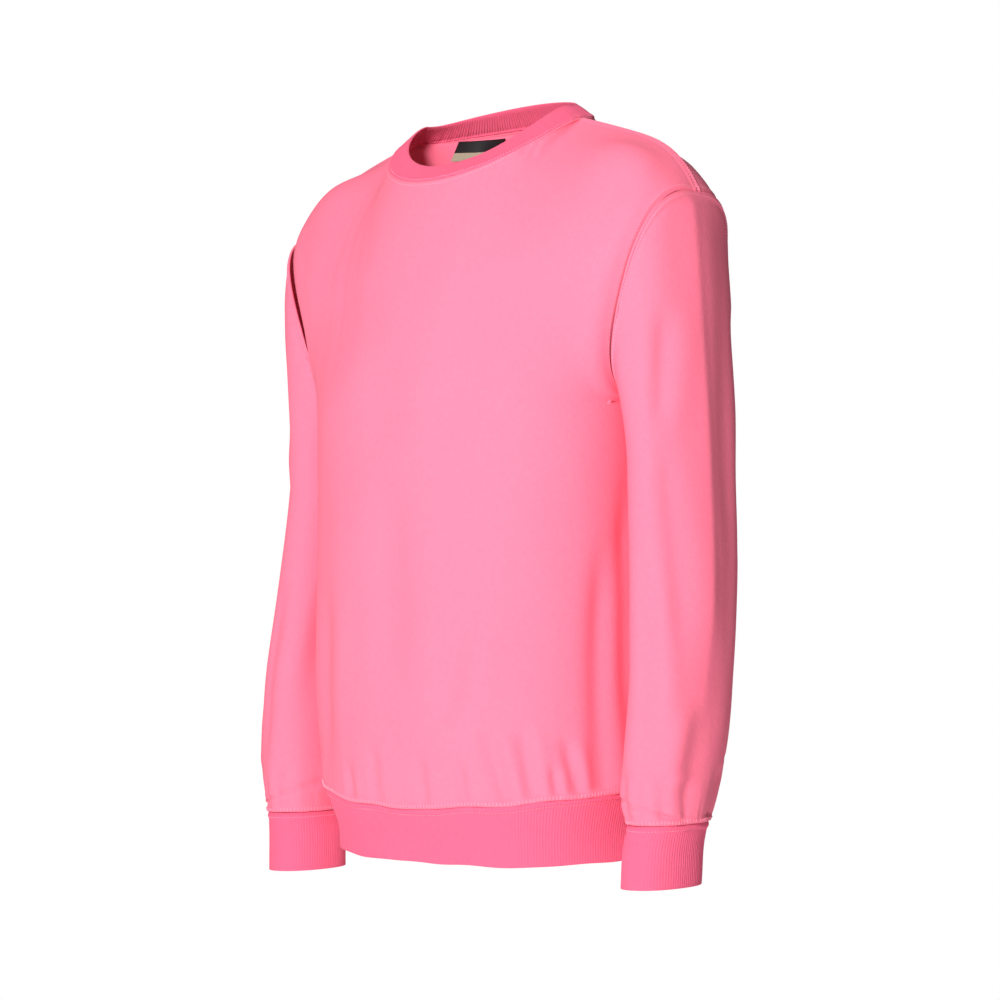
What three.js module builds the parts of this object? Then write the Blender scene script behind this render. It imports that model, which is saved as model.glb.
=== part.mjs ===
// A crewneck sweatshirt in worn shape, hollow, with nobody in it. Millimetres, +Z up, the front faces -Y.
// The origin is midway between the two points where the shoulder seams meet the collar.
// Each piece that a maker cuts and sews is one thin wall: a grid of outer points, and the same moved inwards.
import * as THREE from "three";

const CLOTH = 2.0; // thickness of the fleece
const RIB = 2.6; // thickness of the doubled rib knit
const SEAM_GAP = 0.36; // clearance between two pieces that are sewn together

// Heights along the body.
const HEM_SEAM_Z = -668;
const HEM_EDGE_Z = -720;
const HEM_LIFT = { seam: 17, edge: 3, power: 2.2, tilt: 6 }; // its rise at the sides, its fall to the left
const UNDERARM_Z = -285;
const SEAM_Y = 10; // the side and shoulder seams lie in this plane
const SHOULDER_TIP = { x: 248, y: SEAM_Y, z: -88 };
const NECK_POINT = { x: 112, y: SEAM_Y, z: 0 };
const NECK_FRONT = { y: -93, z: -59 };
const NECK_BACK = { y: 80, z: 10 };
const NECK_SWEEP = 1.35; // how gently the neckline leaves the shoulder
const NECK_POWER = 2.1; // roundness of the neckline seen from above
const SHOULDER_FALL = { slope: 0.5, turn: 6 }; // the shoulder seam is straight, then rounds over
const SHOULDER_FULL = { front: 10, back: 9 }; // how far the cloth swells over the shoulder, beside its seam
const LEAN_SPREAD = 0.5; // how widely the neckline's corners fade into the panel below them

// Half sizes of the body at each height, measured from the seam plane.
const BODY = [
  { z: HEM_SEAM_Z, halfWidth: 181, front: 170, back: 126 },
  { z: -560, halfWidth: 182, front: 175, back: 131 },
  { z: -420, halfWidth: 179, front: 170, back: 126 },
  { z: UNDERARM_Z, halfWidth: 182, front: 162, back: 122 },
];
const BODY_POWER = 2.6; // roundness of the body's section: 2 is an ellipse, more is boxier

// The armhole is a loop in y and z, and its x grows from the underarm to the shoulder tip.
const ARMHOLE = {
  y: SEAM_Y,
  z: (UNDERARM_Z + SHOULDER_TIP.z) / 2,
  halfHeight: (SHOULDER_TIP.z - UNDERARM_Z) / 2,
  halfDepth: 74,
  power: 2.7,
  lowX: 182,
  rise: 1.25,
};

// Sections of a sleeve below the shoulder, and of its cuff.
const CUFF_SEAM_Z = -684;
const SLEEVE = [
  { z: -350, x: 222, y: 9, halfX: 38, halfY: 69 },
  { z: -450, x: 230, y: -2, halfX: 39, halfY: 69 },
  { z: -540, x: 236, y: -19, halfX: 38, halfY: 66 },
  { z: -620, x: 234, y: -34, halfX: 38, halfY: 60 },
  { z: -668, x: 233, y: -45, halfX: 35, halfY: 52 },
  { z: CUFF_SEAM_Z, x: 234, y: -46, halfX: 32, halfY: 46 },
];
const CUFF = [
  { z: CUFF_SEAM_Z - SEAM_GAP * 2, x: 234, y: -46, halfX: 31, halfY: 45 },
  { z: -698, x: 231, y: -48, halfX: 31, halfY: 45 },
  { z: -742, x: 228, y: -52, halfX: 31, halfY: 45 },
];
const SLEEVE_POWER = 2.2;

// How the sleeve leaves the armhole and arrives at its first level ring, against the body and on the outside.
const CAP = {
  leaveInside: { out: 22, down: 90 },
  leaveOutside: { out: 8, down: 92 },
  arriveInside: 90,
  arriveOutside: 220,
};
const CAP_GAP = SEAM_GAP * 1.3; // between the armhole's edge and the sleeve
const CAP_FREE_ROWS = 3; // a sleeve's folds start to show within these rows of its armhole

// Long soft folds: where on the piece the crease starts and ends, how wide and how deep it is.
// On the body, side is 0 at the centre and 1 at the side seam, with a sign. On a sleeve, turn is in degrees:
// 0 outside, 90 back, 180 against the body, 270 front.
const FRONT_FOLDS = [
  { side: -0.78, endSide: -0.86, top: -250, bottom: -650, width: 0.06, depth: -3.0 },
  { side: -0.52, endSide: -0.6, top: -330, bottom: -655, width: 0.07, depth: -2.2 },
  { side: -0.3, endSide: -0.2, top: -390, bottom: -655, width: 0.09, depth: -2.4 },
  { side: 0.16, endSide: 0.22, top: -500, bottom: -662, width: 0.05, depth: -2.6 },
  { side: 0.42, endSide: 0.36, top: -420, bottom: -662, width: 0.07, depth: -2.8 },
  { side: 0.66, endSide: 0.62, top: -360, bottom: -660, width: 0.06, depth: -2.6 },
];
const BACK_FOLDS = [
  { side: -0.7, endSide: -0.62, top: -300, bottom: -655, width: 0.07, depth: -3.0 },
  { side: -0.28, endSide: -0.34, top: -420, bottom: -660, width: 0.08, depth: -2.4 },
  { side: 0.12, endSide: 0.04, top: -380, bottom: -655, width: 0.09, depth: -2.2 },
  { side: 0.5, endSide: 0.58, top: -330, bottom: -660, width: 0.07, depth: -2.8 },
  { side: 0.82, endSide: 0.78, top: -260, bottom: -640, width: 0.06, depth: -2.8 },
];
const SLEEVE_FOLDS = [
  { turn: 8, endTurn: 16, top: -150, bottom: -660, width: 13, depth: 3.0 },
  { turn: 300, endTurn: 316, top: -330, bottom: -650, width: 17, depth: -2.4 },
  { turn: 60, endTurn: 48, top: -300, bottom: -640, width: 16, depth: -2.6 },
  { turn: 262, endTurn: 280, top: -420, bottom: -660, width: 15, depth: -2.4 },
  { turn: 110, endTurn: 126, top: -380, bottom: -655, width: 16, depth: -2.4 },
];

// How finely each piece is drawn: steps across and along.
const PANEL_STEPS = { neckline: 10, shoulder: 8, lower: 9, upper: 11 };
const SLEEVE_STEPS = { round: 28, cap: 8, arm: 9 };
const COLLAR_STEPS = 4 * PANEL_STEPS.neckline; // so that its corners meet the neckline's
const BAND_STEPS = 48;
const LABEL_STEPS = { across: 8, down: 4 };

const PINK = 0xf77aa3;
const BLACK = 0x16161a;
const GREY = 0x8f8a80;
const MATTE = 0.9;
const SATIN = 0.45;
const DEG = Math.PI / 180;

const lerp = (a, b, t) => a + (b - a) * t;
const smooth = (t) => t * t * (3 - 2 * t);
const clamp01 = (t) => Math.min(1, Math.max(0, t));
// cos or sin raised to a power, keeping its sign, which makes an ellipse boxier.
const boxy = (v, power) => Math.sign(v) * Math.abs(v) ** (2 / power);

// Reads a table of sections at a height, smoothly between its rows. Rows may go up or down.
function sectionAt(rows, z) {
  const down = rows[0].z > rows[rows.length - 1].z;
  const ordered = down ? rows : [...rows].reverse();
  const found = ordered.findIndex((r) => r.z <= z);
  const k = Math.min(Math.max(found < 0 ? ordered.length - 1 : found, 1), ordered.length - 1);
  const upper = ordered[k - 1];
  const lower = ordered[k];
  const t = smooth(clamp01((upper.z - z) / (upper.z - lower.z)));
  return Object.fromEntries(Object.keys(upper).map((key) => [key, lerp(upper[key], lower[key], t)]));
}

// A fold deepens along its length, is deepest at this share of it, and fades over the last bit.
const FOLD_PEAK = 0.62;
const FOLD_END = 0.11;
const EDGE_FADE = 0.125; // folds and fullness fade over this share of a panel beside its edges

// How deep the folds are at a place on a piece.
function foldDepth(folds, place, z, from, to, wrap) {
  return folds.reduce((sum, f) => {
    const along = clamp01((f.top - z) / (f.top - f.bottom));
    let away = place - lerp(f[from], f[to], along);
    if (wrap) away -= 360 * Math.round(away / 360);
    const start = Math.sin((Math.min(along / FOLD_PEAK, 1) * Math.PI) / 2);
    const end = smooth(clamp01((1 - along) / FOLD_END));
    return sum + f.depth * start * end * Math.exp(-((away / f.width) ** 2));
  }, 0);
}

// A point of the armhole: angle 0 is its back, 90 its top, 180 its front and 270 the underarm.
function armhole(angle, side) {
  const y = ARMHOLE.y + ARMHOLE.halfDepth * boxy(Math.cos(angle), ARMHOLE.power);
  const z = ARMHOLE.z + ARMHOLE.halfHeight * boxy(Math.sin(angle), ARMHOLE.power);
  const height = clamp01((z - UNDERARM_Z) / (SHOULDER_TIP.z - UNDERARM_Z));
  const x = lerp(ARMHOLE.lowX, SHOULDER_TIP.x, height ** ARMHOLE.rise);
  return new THREE.Vector3(side * x, y, z);
}

// The hem's rise at a share of the body's half width.
const hemLift = (share, height) => height * Math.abs(share) ** HEM_LIFT.power - HEM_LIFT.tilt * share;

// The outer face of the front (face -1) or the back (face 1) of the body.
// across runs from -1 to 1 between the side seams. up is 0 at the hem seam, 1 at the underarm, 2 at the top.
function bodyPoint(across, up, face) {
  const rise = Math.max(0, up - 1);
  const row = sectionAt(BODY, lerp(HEM_SEAM_Z, UNDERARM_Z, Math.min(up, 1)));
  const neck = face < 0 ? NECK_FRONT : NECK_BACK;
  const edge = armhole((face < 0 ? 270 - 180 * rise : -90 + 180 * rise) * DEG, 1);
  // The middle of the panel bends over from the chest to the neck.
  const neckDepth = Math.abs(neck.y - SEAM_Y);
  const depth = lerp(neckDepth, face < 0 ? row.front : row.back, Math.cos(rise * 90 * DEG));
  // Each row runs along a boxy ellipse, from the centre as far as the armhole leaves it.
  const edgeDepth = Math.min(Math.abs(edge.y - SEAM_Y) / depth, 1) ** (BODY_POWER / 2);
  const lastTurn = rise > 0 ? Math.acos(edgeDepth) : Math.PI / 2;
  const reach = rise > 0 ? edge.x / boxy(Math.sin(lastTurn), BODY_POWER) : row.halfWidth;
  const wide = (turn) => boxy(Math.sin(turn), BODY_POWER);
  const deep = (turn) => boxy(Math.cos(turn), BODY_POWER);
  const turn = across * lastTurn;
  const towardsEdge = smooth(Math.abs(wide(across * 90 * DEG)));
  const level = row.z + hemLift(wide(across * 90 * DEG), HEM_LIFT.seam) * (1 - Math.min(up, 1));
  const centreZ = up > 1 ? lerp(UNDERARM_Z, neck.z, rise) : level;
  const edgeZ = up > 1 ? edge.z : level;
  const here = new THREE.Vector3(
    reach * wide(turn),
    SEAM_Y + face * depth * deep(turn),
    lerp(centreZ, edgeZ, towardsEdge),
  );
  if (rise === 0) return here;
  // The top row follows the neckline and then the shoulder seam, and the rows under it lean towards it.
  const lean = new THREE.Vector3();
  const spread = LEAN_SPREAD * (1 - rise);
  for (const [step, weight] of LEAN_WEIGHTS) {
    const place = Math.min(1, Math.max(-1, across + step * spread));
    lean.addScaledVector(topEdge(place, face).sub(plainTop(place, face)), weight);
  }
  return here.addScaledVector(lean, rise ** 2).add(shoulderSwell(across, rise, face));
}

// Shares of the places beside a column, in steps of the spread, that set how it leans. They add up to 1.
const LEAN_WEIGHTS = [-1, -0.5, 0, 0.5, 1].map((step) => [step, (3 - 2 * Math.abs(step)) / 9]);

// The top row as the plain section would have it.
function plainTop(across, face) {
  const neck = face < 0 ? NECK_FRONT : NECK_BACK;
  const wide = boxy(Math.sin(across * 90 * DEG), BODY_POWER);
  const deep = boxy(Math.cos(across * 90 * DEG), BODY_POWER);
  return new THREE.Vector3(
    SHOULDER_TIP.x * wide,
    SEAM_Y + (neck.y - SEAM_Y) * deep,
    lerp(neck.z, SHOULDER_TIP.z, smooth(Math.abs(wide))),
  );
}

// The fullness of the cloth over the shoulder: outwards, away from the seam and up.
const SWELL = { rise: 0.84, riseWidth: 0.12, across: 0.74, acrossWidth: 0.2 };
const SWELL_WAY = { out: 0.35, away: 0.55, up: 0.75 };
function shoulderSwell(across, rise, face) {
  const wide = Math.abs(across);
  const above = (rise - SWELL.rise) / SWELL.riseWidth;
  const beside = (wide - SWELL.across) / SWELL.acrossWidth;
  const place = Math.exp(-(above ** 2) - beside ** 2);
  const ends = smooth(clamp01((1 - rise) / EDGE_FADE)) * smooth(clamp01((1 - wide) / EDGE_FADE));
  const height = (face < 0 ? SHOULDER_FULL.front : SHOULDER_FULL.back) * place * ends;
  const way = new THREE.Vector3(Math.sign(across) * SWELL_WAY.out, face * SWELL_WAY.away, SWELL_WAY.up);
  return way.multiplyScalar(height);
}

// The neckline in the middle of the panel, and the shoulder seams on both sides of it.
const NECK_SHARE = 0.4; // the share of the panel's steps that is neckline
function topEdge(across, face) {
  const side = Math.sign(across) || 1;
  const share = Math.abs(across) / NECK_SHARE;
  if (share <= 1) return neckSeam(share * 90 * DEG, side, face);
  const along = (Math.abs(across) - NECK_SHARE) / (1 - NECK_SHARE);
  return new THREE.Vector3(
    side * lerp(NECK_POINT.x, SHOULDER_TIP.x, along),
    lerp(NECK_POINT.y, SHOULDER_TIP.y, along),
    lerp(NECK_POINT.z, SHOULDER_TIP.z, lerp(along ** SHOULDER_FALL.turn, along, SHOULDER_FALL.slope)),
  );
}

// The seam between body and collar, from the centre (0 degrees) to the shoulder (90 degrees).
function neckSeam(turn, side, face) {
  const neck = face < 0 ? NECK_FRONT : NECK_BACK;
  const deep = boxy(Math.cos(turn), NECK_POWER);
  return new THREE.Vector3(
    side * NECK_POINT.x * boxy(Math.sin(turn), NECK_POWER),
    lerp(NECK_POINT.y, neck.y, deep),
    lerp(NECK_POINT.z, neck.z, deep ** NECK_SWEEP),
  );
}

const LOWEST_LEAN = -0.2; // the armhole's edges lean down no further than this

// A closed wall from a grid of outer points and their outward normals. round says that its columns close.
function wall(rows, normals, thickness, round) {
  const count = rows[0].length;
  const corners = [];
  for (const layer of [0, thickness]) {
    rows.forEach((row, j) =>
      row.forEach((p, i) => corners.push(p.clone().addScaledVector(normals[j][i], -layer))),
    );
  }
  const inner = rows.length * count;
  const at = (j, i, layer) => layer * inner + j * count + (round ? i % count : i);
  const faces = [];
  const quad = (a, b, c, d) => faces.push(a, b, c, a, c, d);
  const last = round ? count : count - 1;
  for (let j = 0; j < rows.length - 1; j++) {
    for (let i = 0; i < last; i++) {
      quad(at(j, i, 0), at(j, i + 1, 0), at(j + 1, i + 1, 0), at(j + 1, i, 0));
      quad(at(j, i, 1), at(j + 1, i, 1), at(j + 1, i + 1, 1), at(j, i + 1, 1));
    }
  }
  const top = rows.length - 1;
  for (let i = 0; i < last; i++) {
    quad(at(0, i, 0), at(0, i, 1), at(0, i + 1, 1), at(0, i + 1, 0));
    quad(at(top, i, 0), at(top, i + 1, 0), at(top, i + 1, 1), at(top, i, 1));
  }
  if (!round) {
    for (let j = 0; j < top; j++) {
      quad(at(j, 0, 0), at(j + 1, 0, 0), at(j + 1, 0, 1), at(j, 0, 1));
      quad(at(j, last, 0), at(j, last, 1), at(j + 1, last, 1), at(j + 1, last, 0));
    }
  }
  const geometry = new THREE.BufferGeometry().setFromPoints(corners);
  geometry.setIndex(faces);
  return geometry;
}

// Normals of a grid whose rows run so that (next column) x (next row) points outwards.
function gridNormals(rows, round) {
  const count = rows[0].length;
  const pick = (row, i) => (round ? row[(i + count) % count] : row[Math.min(Math.max(i, 0), count - 1)]);
  return rows.map((row, j) =>
    row.map((p, i) => {
      const across = pick(row, i + 1).clone().sub(pick(row, i - 1));
      const along = rows[Math.min(j + 1, rows.length - 1)][i].clone().sub(rows[Math.max(j - 1, 0)][i]);
      return across.cross(along).normalize();
    }),
  );
}

function piece(name, geometry, colour = PINK, roughness = MATTE) {
  geometry.computeVertexNormals();
  const material = new THREE.MeshStandardMaterial({ color: colour, roughness, metalness: 0 });
  const mesh = new THREE.Mesh(geometry, material);
  mesh.name = name;
  return mesh;
}

const range = (steps) => Array.from({ length: steps + 1 }, (_, k) => k / steps);

// Columns of a panel, with one exactly at each end of the neckline.
function panelColumns() {
  const half = [
    ...range(PANEL_STEPS.neckline).map((t) => t * NECK_SHARE),
    ...range(PANEL_STEPS.shoulder).slice(1).map((t) => lerp(NECK_SHARE, 1, t)),
  ];
  return [...half.slice(1).reverse().map((v) => -v), ...half];
}

// The front or the back, from the hem seam to the neckline and shoulders.
function bodyPanel(name, face, folds) {
  const heights = [
    ...range(PANEL_STEPS.lower),
    ...range(PANEL_STEPS.upper).slice(1).map((t) => 1 + t),
  ];
  const columns = panelColumns().map((v) => (face < 0 ? v : -v));
  const rows = heights.map((up) => columns.map((across) => bodyPoint(across, up, face)));
  const plain = gridNormals(rows, false);
  rows.forEach((row, j) =>
    row.forEach((p, i) => {
      const depth = foldDepth(folds, columns[i], p.z, "side", "endSide", false);
      const fade = smooth(clamp01((1 - Math.abs(columns[i])) / EDGE_FADE));
      p.addScaledVector(plain[j][i], depth * fade);
    }),
  );
  const normals = gridNormals(rows, false);
  const top = rows.length - 1;
  rows.forEach((row, j) =>
    row.forEach((p, i) => {
      const n = normals[j][i];
      const side = i === 0 || i === row.length - 1;
      const armholeShare = clamp01(heights[j] - 1);
      const shoulder = j === top && Math.abs(columns[i]) >= NECK_SHARE - 1e-6;
      if (side && armholeShare < 1e-6) n.set(Math.sign(columns[i]), 0, 0);
      if (side && armholeShare > 0) {
        const out = new THREE.Vector3(0, p.y - ARMHOLE.y, p.z - ARMHOLE.z).normalize();
        const sideways = Math.sign(columns[i]) * (1 - armholeShare) ** 2;
        n.set(sideways, out.y, Math.max(out.z, LOWEST_LEAN)).normalize();
      }
      if (shoulder) n.set(0, 0, 1);
      p.y += (face * SEAM_GAP) / 2;
      // The neckline stops just under the collar.
      if (j === top && !shoulder) p.z -= SEAM_GAP;
    }),
  );
  return piece(name, wall(rows, normals, CLOTH, false));
}

// A ring around a sleeve: turn 0 is its outside, 90 the back, 180 against the body and 270 the front.
function sleeveRing(row, turn, side) {
  return new THREE.Vector3(
    side * (row.x + row.halfX * boxy(Math.cos(turn), SLEEVE_POWER)),
    row.y + row.halfY * boxy(Math.sin(turn), SLEEVE_POWER),
    row.z,
  );
}

// One stretch from the armhole to the first level ring: it leaves the shoulder outwards and turns down.
function sleeveCap(t, turn, side) {
  const start = armhole(Math.PI / 2 - turn, side);
  const end = sleeveRing(SLEEVE[0], turn, side);
  const outside = (1 + Math.cos(turn)) / 2;
  const leave = new THREE.Vector3(
    side * lerp(CAP.leaveInside.out, CAP.leaveOutside.out, outside),
    0,
    -lerp(CAP.leaveInside.down, CAP.leaveOutside.down, outside),
  );
  const arrive = new THREE.Vector3(0, 0, -lerp(CAP.arriveInside, CAP.arriveOutside, outside));
  const t2 = t * t;
  const t3 = t2 * t;
  return start
    .multiplyScalar(2 * t3 - 3 * t2 + 1)
    .addScaledVector(leave, t3 - 2 * t2 + t)
    .addScaledVector(end, 3 * t2 - 2 * t3)
    .addScaledVector(arrive, t3 - t2);
}

function sleevePiece(name, side) {
  const turns = range(SLEEVE_STEPS.round).slice(0, -1).map((t) => -side * t * 2 * Math.PI);
  const cap = range(SLEEVE_STEPS.cap).map((t) => turns.map((turn) => sleeveCap(t, turn, side)));
  const firstZ = SLEEVE[0].z;
  const lastZ = SLEEVE[SLEEVE.length - 1].z;
  const arm = range(SLEEVE_STEPS.arm).slice(1).map((t) => {
    const row = sectionAt(SLEEVE, lerp(firstZ, lastZ, t));
    return turns.map((turn) => sleeveRing(row, turn, side));
  });
  const rows = [...cap, ...arm];
  const plain = gridNormals(rows, true);
  rows.forEach((row, j) =>
    row.forEach((p, i) => {
      const place = (turns[i] / DEG + 720) % 360;
      const start = smooth(clamp01(j / CAP_FREE_ROWS));
      p.addScaledVector(plain[j][i], start * foldDepth(SLEEVE_FOLDS, place, p.z, "turn", "endTurn", true));
    }),
  );
  const normals = gridNormals(rows, true);
  normals[0].forEach((n, i) => {
    const p = rows[0][i];
    const low = clamp01((ARMHOLE.z - p.z) / ARMHOLE.halfHeight);
    const up = Math.max((p.z - ARMHOLE.z) / ARMHOLE.halfHeight, LOWEST_LEAN);
    n.set(-side * low ** 2, (p.y - ARMHOLE.y) / ARMHOLE.halfDepth, up).normalize();
  });
  rows[0].forEach((p) => {
    p.x += side * CAP_GAP;
  });
  return piece(name, wall(rows, normals, CLOTH, true));
}

// A band of rib knit that goes once round: each row is a function of the turn.
function band(name, rowsOfTurn, thickness, steps = BAND_STEPS) {
  const turns = range(steps).slice(0, -1).map((t) => t * 2 * Math.PI);
  const rows = rowsOfTurn.map((point) => turns.map((turn) => point(turn)));
  const normals = gridNormals(rows, true);
  // Its two edges are cut level.
  for (const row of [normals[0], normals[normals.length - 1]]) row.forEach((n) => n.setZ(0).normalize());
  return piece(name, wall(rows, normals, thickness, true));
}

// The waistband: it draws the body in below the seam.
const HEM_ROWS = [
  { share: 0, halfWidth: 165, front: 156, back: 113 },
  { share: 0.42, halfWidth: 167, front: 158, back: 115 },
  { share: 0.68, halfWidth: 172, front: 163, back: 119 },
  { share: 1, halfWidth: 180, front: 169, back: 125 },
];
function hemBand() {
  return band(
    "hem_rib",
    HEM_ROWS.map((row) => (turn) => {
      const wide = boxy(Math.cos(turn), BODY_POWER);
      const deep = boxy(Math.sin(turn), BODY_POWER);
      const level = lerp(HEM_EDGE_Z, HEM_SEAM_Z - SEAM_GAP, row.share);
      const lift = hemLift(wide, lerp(HEM_LIFT.edge, HEM_LIFT.seam, row.share));
      return new THREE.Vector3(
        row.halfWidth * wide,
        SEAM_Y + (deep < 0 ? row.front : row.back) * deep,
        level + lift,
      );
    }),
    RIB,
  );
}

function cuffBand(name, side) {
  const rows = [...CUFF].reverse().map((row) => (turn) => sleeveRing(row, side * turn, side));
  return band(name, rows, RIB);
}

// The collar stands on the neck seam and leans inwards, most of all at the shoulders.
const COLLAR_ROWS = [0, 0.5, 1];
const COLLAR_WIDTH = 24;
const COLLAR_TILT = { front: 50, side: 56, back: 34 }; // degrees from upright
const COLLAR_BOW = 0.75; // the collar's lower half leans by this share of its tilt
function collarBand() {
  return band(
    "collar_rib",
    COLLAR_ROWS.map((share) => (turn) => {
      const face = Math.sin(turn) < 0 ? -1 : 1;
      const side = Math.sign(Math.cos(turn)) || 1;
      const fromCentre = Math.acos(Math.abs(Math.sin(turn)));
      const p = neckSeam(fromCentre, side, face);
      const inwards = new THREE.Vector3(-p.x, -p.y, 0).normalize();
      const ends = face < 0 ? COLLAR_TILT.front : COLLAR_TILT.back;
      const tilt = lerp(ends, COLLAR_TILT.side, smooth(fromCentre / (Math.PI / 2))) * DEG;
      p.addScaledVector(inwards, share * COLLAR_WIDTH * Math.sin(tilt * lerp(COLLAR_BOW, 1, share)));
      p.z += SEAM_GAP + share * COLLAR_WIDTH * Math.cos(tilt);
      return p;
    }),
    RIB,
    COLLAR_STEPS,
  );
}

// The neck label: a black ribbon and a grey one under it, sewn into the back neck seam and hanging free.
const LABEL = { x: -64, width: 46, thickness: 0.8, seamDepth: 3.4, lean: 10, curl: 3 };
const LABEL_BLACK = { top: 2.8, bottom: -9.5 };
const LABEL_GREY = { top: -9.9, bottom: -19 };
function labelPoint(x, z) {
  const share = Math.abs(x / NECK_POINT.x) ** (NECK_POWER / 2);
  const seam = neckSeam(Math.asin(Math.min(1, share)), Math.sign(x) || 1, 1);
  const hang = clamp01((LABEL_BLACK.top - z) / (LABEL_BLACK.top - LABEL_GREY.bottom));
  const across = (x - LABEL.x) / LABEL.width + 0.5;
  const forward = LABEL.lean * hang + LABEL.curl * hang * Math.cos(across * Math.PI * 2);
  return new THREE.Vector3(x, seam.y - LABEL.seamDepth - forward, z);
}

function labelPiece(name, ribbon, colour) {
  const columns = range(LABEL_STEPS.across).map((t) => LABEL.x + LABEL.width * (t - 0.5));
  const heights = range(LABEL_STEPS.down).map((t) => lerp(ribbon.bottom, ribbon.top, t));
  const rows = heights.map((z) => columns.map((x) => labelPoint(x, z)));
  const forward = rows.map((row) => row.map(() => new THREE.Vector3(0, -1, 0)));
  return piece(name, wall(rows, forward, LABEL.thickness, false), colour, SATIN);
}

const sweatshirt = new THREE.Group();
sweatshirt.add(bodyPanel("front_panel", -1, FRONT_FOLDS));
sweatshirt.add(bodyPanel("back_panel", 1, BACK_FOLDS));
sweatshirt.add(sleevePiece("sleeve_left", 1));
sweatshirt.add(sleevePiece("sleeve_right", -1));
sweatshirt.add(collarBand());
sweatshirt.add(hemBand());
sweatshirt.add(cuffBand("cuff_left", 1));
sweatshirt.add(cuffBand("cuff_right", -1));
sweatshirt.add(labelPiece("neck_label_black", LABEL_BLACK, BLACK));
sweatshirt.add(labelPiece("neck_label_grey", LABEL_GREY, GREY));
export default sweatshirt;
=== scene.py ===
# A pink crewneck sweatshirt in worn shape, hollow, with nobody in it.
# The cloth's sizes are in millimetres, as in a cutting plan, and become metres when a mesh is made.
# Each piece is a thin shell on the form of its solid, with its folds, seams, ribs and stitches.
import math

import bpy
import numpy as np
from mathutils import Matrix, Vector, noise


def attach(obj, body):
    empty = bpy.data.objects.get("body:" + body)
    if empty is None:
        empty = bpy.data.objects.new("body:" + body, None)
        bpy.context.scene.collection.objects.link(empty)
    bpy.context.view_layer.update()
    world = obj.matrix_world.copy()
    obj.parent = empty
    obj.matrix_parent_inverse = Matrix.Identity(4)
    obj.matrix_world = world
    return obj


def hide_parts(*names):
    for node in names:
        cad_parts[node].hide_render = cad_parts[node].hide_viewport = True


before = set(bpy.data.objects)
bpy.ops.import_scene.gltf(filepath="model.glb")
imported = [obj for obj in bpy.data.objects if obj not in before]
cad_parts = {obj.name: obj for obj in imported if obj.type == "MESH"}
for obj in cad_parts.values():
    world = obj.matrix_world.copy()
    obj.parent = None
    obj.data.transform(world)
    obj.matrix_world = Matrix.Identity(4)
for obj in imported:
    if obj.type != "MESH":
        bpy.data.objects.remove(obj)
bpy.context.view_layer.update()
MM = 0.001
TURN = 2 * math.pi

# Sizes of the garment, as in the solids.
CLOTH = 2.0
RIB = 2.6
SEAM_GAP = 0.3
HEM_SEAM_Z = -668.0
HEM_EDGE_Z = -720.0
HEM_LIFT = {"seam": 17.0, "edge": 3.0, "power": 2.2, "tilt": 6.0}
UNDERARM_Z = -285.0
SEAM_Y = 10.0
SHOULDER_TIP = (248.0, SEAM_Y, -88.0)
NECK_POINT = (112.0, SEAM_Y, 0.0)
NECK_FRONT = {"y": -93.0, "z": -59.0}
NECK_BACK = {"y": 80.0, "z": 10.0}
NECK_SWEEP = 1.35
NECK_POWER = 2.1
# The neckline's share of a panel's top edge. The rest of that edge is the shoulder seam.
NECK_SHARE = 0.4
# The shoulder seam falls by an even slope, and for the rest at a late turn near the tip.
SHOULDER_FALL = {"slope": 0.5, "turn": 6}
# The fullness of the cloth over the shoulder, where it lies on the panel, and which way it goes.
SHOULDER_FULL = {"front": 10.0, "back": 9.0}
SWELL = {"rise": 0.84, "rise_width": 0.12, "across": 0.74, "across_width": 0.2, "edge_fade": 8}
SWELL_WAY = {"out": 0.35, "away": 0.55, "up": 0.75}
# The top edge's lean is averaged across the panel in these steps, most widely at the underarm.
LEAN_SPREAD = 0.5
LEAN_WEIGHTS = {-1.0: 1 / 9, -0.5: 2 / 9, 0.0: 3 / 9, 0.5: 2 / 9, 1.0: 1 / 9}
BODY_POWER = 2.6
SLEEVE_POWER = 2.2
BODY = [
    {"z": HEM_SEAM_Z, "half_width": 181, "front": 170, "back": 126},
    {"z": -560, "half_width": 182, "front": 175, "back": 131},
    {"z": -420, "half_width": 179, "front": 170, "back": 126},
    {"z": UNDERARM_Z, "half_width": 182, "front": 162, "back": 122},
]
HEM = [
    {"z": 0.0, "half_width": 165, "front": 156, "back": 113},
    {"z": 0.42, "half_width": 167, "front": 158, "back": 115},
    {"z": 0.68, "half_width": 172, "front": 163, "back": 119},
    {"z": 1.0, "half_width": 180, "front": 169, "back": 125},
]
ARMHOLE = {
    "y": SEAM_Y,
    "z": (UNDERARM_Z + SHOULDER_TIP[2]) / 2,
    "half_height": (SHOULDER_TIP[2] - UNDERARM_Z) / 2,
    "half_depth": 74.0,
    "power": 2.7,
    "low_x": 182.0,
    "rise": 1.25,
}
CUFF_SEAM_Z = -684.0
SLEEVE = [
    {"z": -350, "x": 222, "y": 9, "half_x": 38, "half_y": 69},
    {"z": -450, "x": 230, "y": -2, "half_x": 39, "half_y": 69},
    {"z": -540, "x": 236, "y": -19, "half_x": 38, "half_y": 66},
    {"z": -620, "x": 234, "y": -34, "half_x": 38, "half_y": 60},
    {"z": -668, "x": 233, "y": -45, "half_x": 35, "half_y": 52},
    {"z": CUFF_SEAM_Z, "x": 234, "y": -46, "half_x": 32, "half_y": 46},
]
CUFF = [
    {"z": -742, "x": 228, "y": -52, "half_x": 31, "half_y": 45},
    {"z": -698, "x": 231, "y": -48, "half_x": 31, "half_y": 45},
    {"z": CUFF_SEAM_Z - SEAM_GAP * 2, "x": 234, "y": -46, "half_x": 31, "half_y": 45},
]
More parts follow.
